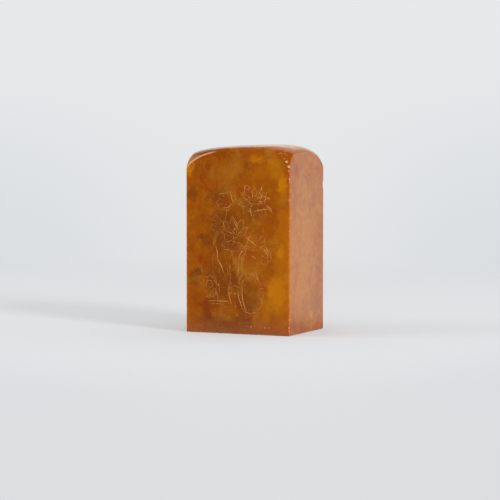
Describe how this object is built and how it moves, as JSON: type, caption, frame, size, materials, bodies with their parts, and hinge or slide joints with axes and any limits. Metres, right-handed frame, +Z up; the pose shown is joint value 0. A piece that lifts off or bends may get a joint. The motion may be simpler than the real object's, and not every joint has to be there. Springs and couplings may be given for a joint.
{
  "type": "seal stamp",
  "caption": "Hand-held rectangular stone seal with a softly domed top, an incised lotus spray on one wide side and a relief-cut print face underneath.",
  "frame": {"origin": "centre of the block's underside, at the level of the print face", "axes": "+Z up from the print face to the domed top, +X along the wide sides, -Y towards the wide side that carries the incised spray"},
  "size_m": [0.032, 0.0242, 0.0531],
  "materials": {
    "amber_soapstone": "polished, slightly translucent"
  },
  "bodies": {
    "root": {"seal_stone": "amber_soapstone"}
  },
  "joints": []
}
